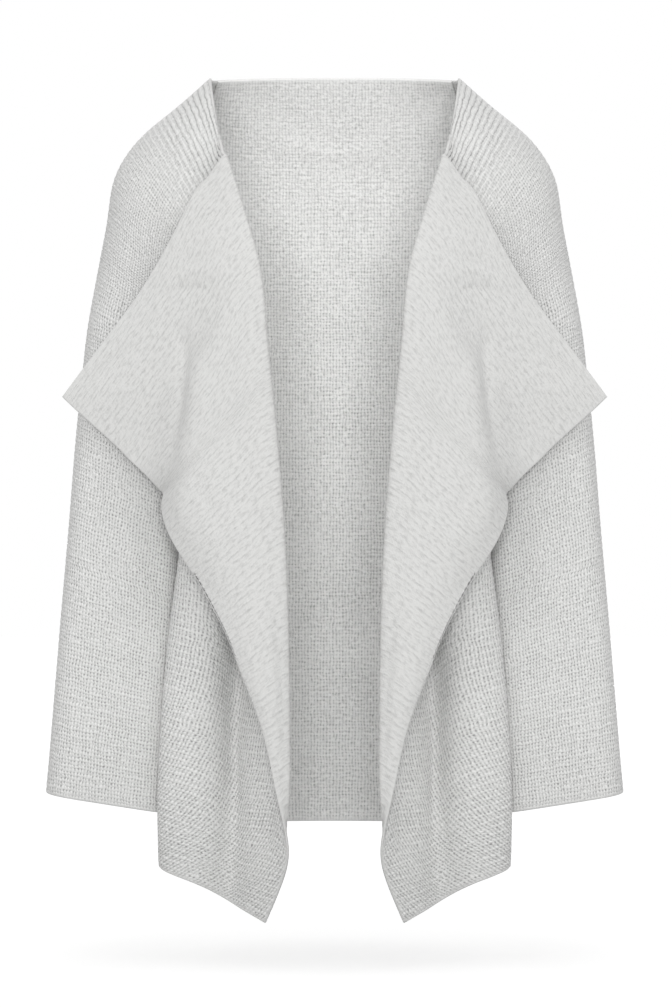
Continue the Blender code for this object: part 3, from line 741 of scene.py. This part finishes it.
def makeFronts():
    settings = {"outward": -1, "ribOut": 0.22, "ribIn": 0.26, "unevenRibs": 0.25, "seed": 8}
    stations, roll = frontStations()
    rows, along = rowStations(frontSurface, hemRow, np.array([0.0, 3, 6, roll]))
    middle = frontSurface(rows, stations)
    width = arcAlong(middle, 1)
    rollColumn = int(np.argmin(np.abs(stations - roll))) + 3
    width -= width[:, rollColumn:rollColumn + 1]
    bow = front["topBow"] * np.exp(-((width - front["topBowAt"]) / front["topBowHalf"]) ** 2)
    middle[:, :, 2] -= bow * np.clip(1 - rows / front["topBowRows"], 0, 1)[:, None] ** 2
    beyond = width / front["foldFade"]
    settings["folds"] = (foldHeights(middle, panelFolds) * np.clip(-beyond, 0, 1)
                         - foldHeights(middle, lapelFolds) * np.clip(beyond, 0, 1))
    outer = {"wale": 3.8, "lean": 0.25, "columnsDark": 0.35, "furrow": 0.14}
    materials = knitPair("front", outer, {"lean": 0.25})
    for side, points in (("left", middle), ("right", mirrorOf(middle))):
        piece = makeWall("front_" + side, points.copy(), along[:, None], width,
                         {**settings, "outward": settings["outward"] * (1 if side == "left" else -1)},
                         materials, (True, False), (True, True, True))
        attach(piece, "root")
        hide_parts("front_" + side)


# Floor, light and camera.

studio = {"pixel": 0.95, "distance": 3.4, "centrePixel": 334.7, "height": -0.403,
          "floor": -0.83, "floorGlow": 0.64, "worldForCamera": 1.0, "world": 0.80,
          "suns": (("leftLight", (88, 6), 12, 0.78),    # turned by, degrees across, strength
                   ("rightLight", (88, -6), 12, 0.78),
                   ("topLight", (34, 0), 50, 0.20),
                   ("backLight", (-82, 0), 30, 0.40))}


def makeStudio():
    bpy.ops.mesh.primitive_plane_add(size=12, location=(0, 2, studio["floor"]))
    floor = bpy.context.object
    floor.name = "floor"
    material = bpy.data.materials.new("paleFloor")
    material.use_nodes = True
    shader = material.node_tree.nodes["Principled BSDF"]
    for socket, value in (("Base Color", (0.5, 0.5, 0.5, 1)), ("Roughness", 1.0),
                          ("Specular IOR Level", 0.0), ("Emission Color", (1, 1, 1, 1))):
        shader.inputs[socket].default_value = value
    tree = material.node_tree
    seen = tree.nodes.new("ShaderNodeLightPath").outputs["Is Camera Ray"]
    tree.links.new(mathNode(tree, "MULTIPLY", seen, studio["floorGlow"]), shader.inputs["Emission Strength"])
    floor.data.materials.append(material)
    world = bpy.data.worlds.new("studio")
    bpy.context.scene.world = world
    world.use_nodes = True
    tree = world.node_tree
    background = tree.nodes["Background"]
    background.inputs[0].default_value = (1, 1, 1, 1)
    seen = tree.nodes.new("ShaderNodeLightPath").outputs["Is Camera Ray"]
    extra = studio["worldForCamera"] - studio["world"]
    strength = mathNode(tree, "MULTIPLY_ADD", seen, extra, studio["world"])
    tree.links.new(strength, background.inputs[1])
    for name, turn, size, power in studio["suns"]:
        light = bpy.data.lights.new(name, "SUN")
        light.angle = math.radians(size)
        light.energy = power
        lamp = bpy.data.objects.new(name, light)
        lamp.rotation_euler = (math.radians(turn[0]), 0, math.radians(turn[1]))
        bpy.context.scene.collection.objects.link(lamp)


def makeCamera():
    lens = bpy.data.cameras.new("camera")
    camera = bpy.data.objects.new("camera", lens)
    bpy.context.scene.collection.objects.link(camera)
    pixel = studio["pixel"] * mm
    camera.location = ((336 - studio["centrePixel"]) * pixel, -studio["distance"], studio["height"])
    camera.rotation_euler = (math.pi / 2, 0, 0)
    lens.sensor_width = 36
    lens.lens = 36 * studio["distance"] / (1008 * pixel)
    bpy.context.scene.camera = camera
    bpy.context.scene.view_settings.view_transform = "Standard"


makeSleeves()
print("sleeves made")
makeBack()
print("back made")
makeFronts()
print("fronts made")
makeStudio()
makeCamera()
print("studio made")
